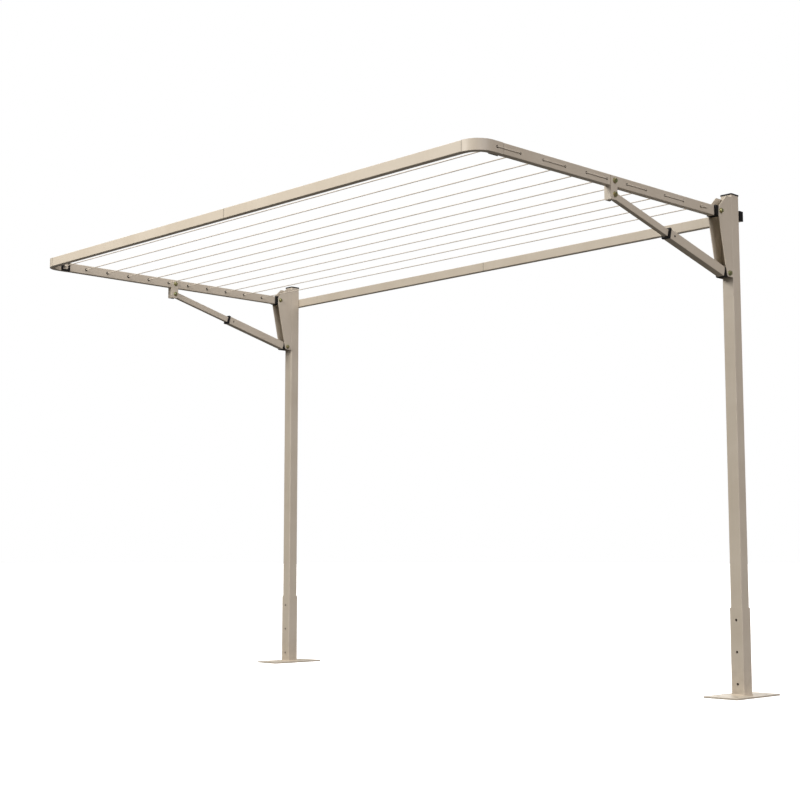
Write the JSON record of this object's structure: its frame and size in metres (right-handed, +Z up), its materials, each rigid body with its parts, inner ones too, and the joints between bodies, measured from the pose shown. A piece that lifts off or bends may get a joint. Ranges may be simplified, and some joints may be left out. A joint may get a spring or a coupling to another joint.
{
  "type": "fold-down clothesline frame",
  "caption": "Ground-mounted fold-down clothesline: plated posts carry a hinged rectangular frame of parallel lines, held level by telescopic struts.",
  "frame": {"origin": "on the ground, midway between the two posts' axes", "axes": "+X to the right post seen from the front, +Y to the back, the side the line frame hinges at, +Z up; the line frame is open and level"},
  "size_m": [2.85, 1.6185, 1.951],
  "materials": {
    "powder_coat": "satin powder coat, cream",
    "black_plastic": "matt moulded",
    "zinc_fastener": "yellow zinc plated",
    "line_cord": "plastic covered cord, pale beige"
  },
  "bodies": {
    "line_frame": {"arm_left": "powder_coat", "arm_pivot_plug_left": "black_plastic", "arm_pivot_plug_right": "black_plastic", "arm_right": "powder_coat", "clothes_line": "line_cord", "corner_elbow_left": "powder_coat", "corner_elbow_right": "powder_coat", "corner_insert_left": "black_plastic", "corner_insert_right": "black_plastic", "corner_joiner_left": "black_plastic", "corner_joiner_right": "black_plastic", "front_bar_joiner": "black_plastic", "front_bar_left": "powder_coat", "front_bar_right": "powder_coat", "line_knot_left": "line_cord", "line_knot_right": "line_cord", "line_tail": "line_cord", "yoke_bolt_left": "zinc_fastener", "yoke_bolt_right": "zinc_fastener", "yoke_left": "powder_coat", "yoke_pin_left": "zinc_fastener", "yoke_pin_right": "zinc_fastener", "yoke_right": "powder_coat"},
    "ground_frame": {"arm_pivot_bolt_left": "zinc_fastener", "arm_pivot_bolt_right": "zinc_fastener", "base_plate_left": "powder_coat", "base_plate_right": "powder_coat", "base_socket_left": "powder_coat", "base_socket_right": "powder_coat", "bracket_bolt_left": "zinc_fastener", "bracket_bolt_right": "zinc_fastener", "post_bracket_left": "powder_coat", "post_bracket_right": "powder_coat", "post_cap_left": "black_plastic", "post_cap_right": "black_plastic", "post_left": "powder_coat", "post_right": "powder_coat", "rear_bar_bolt_left": "zinc_fastener", "rear_bar_bolt_right": "zinc_fastener", "rear_bar_end_cap_left": "black_plastic", "rear_bar_end_cap_right": "black_plastic", "rear_bar_joiner": "black_plastic", "rear_bar_left": "powder_coat", "rear_bar_right": "powder_coat", "strut_foot_bolt_left_inner": "zinc_fastener", "strut_foot_bolt_left_outer": "zinc_fastener", "strut_foot_bolt_right_inner": "zinc_fastener", "strut_foot_bolt_right_outer": "zinc_fastener"},
    "strut_tube_left": {"strut_foot_plug_left": "black_plastic", "strut_guide_collar_left": "black_plastic", "strut_outer_tube_left": "powder_coat"},
    "strut_tube_right": {"strut_foot_plug_right": "black_plastic", "strut_guide_collar_right": "black_plastic", "strut_outer_tube_right": "powder_coat"},
    "strut_rod_left": {"strut_rod_left": "powder_coat", "strut_slide_cap_left": "black_plastic"},
    "strut_rod_right": {"strut_rod_right": "powder_coat", "strut_slide_cap_right": "black_plastic"}
  },
  "joints": [
    {"name": "frame_fold", "type": "hinge", "parent": "ground_frame", "child": "line_frame", "pos_m": [0, -0.1, 1.868], "axis": [1, 0, 0], "range_deg": [0, 90]},
    {"name": "strut_swing_left", "type": "hinge", "parent": "line_frame", "child": "strut_rod_left", "pos_m": [-1.35, -0.755, 1.818], "axis": [1, 0, 0], "range_deg": [0, 15.09]},
    {"name": "strut_slide_left", "type": "slide", "parent": "strut_rod_left", "child": "strut_tube_left", "axis": [0, 0.9655, -0.2602], "range_m": [-0.3153, 0]},
    {"name": "strut_swing_right", "type": "hinge", "parent": "line_frame", "child": "strut_rod_right", "pos_m": [1.35, -0.755, 1.818], "axis": [1, 0, 0], "range_deg": [0, 15.09]},
    {"name": "strut_slide_right", "type": "slide", "parent": "strut_rod_right", "child": "strut_tube_right", "axis": [0, 0.9655, -0.2602], "range_m": [-0.3153, 0]}
  ],
  "couplings": [
    {"joint": "strut_swing_left", "follows": "frame_fold", "ratio": 0.16759},
    {"joint": "strut_slide_left", "follows": "frame_fold", "m_per_rad": -0.20063},
    {"joint": "strut_swing_right", "follows": "frame_fold", "ratio": 0.16759},
    {"joint": "strut_slide_right", "follows": "frame_fold", "m_per_rad": -0.20063}
  ]
}
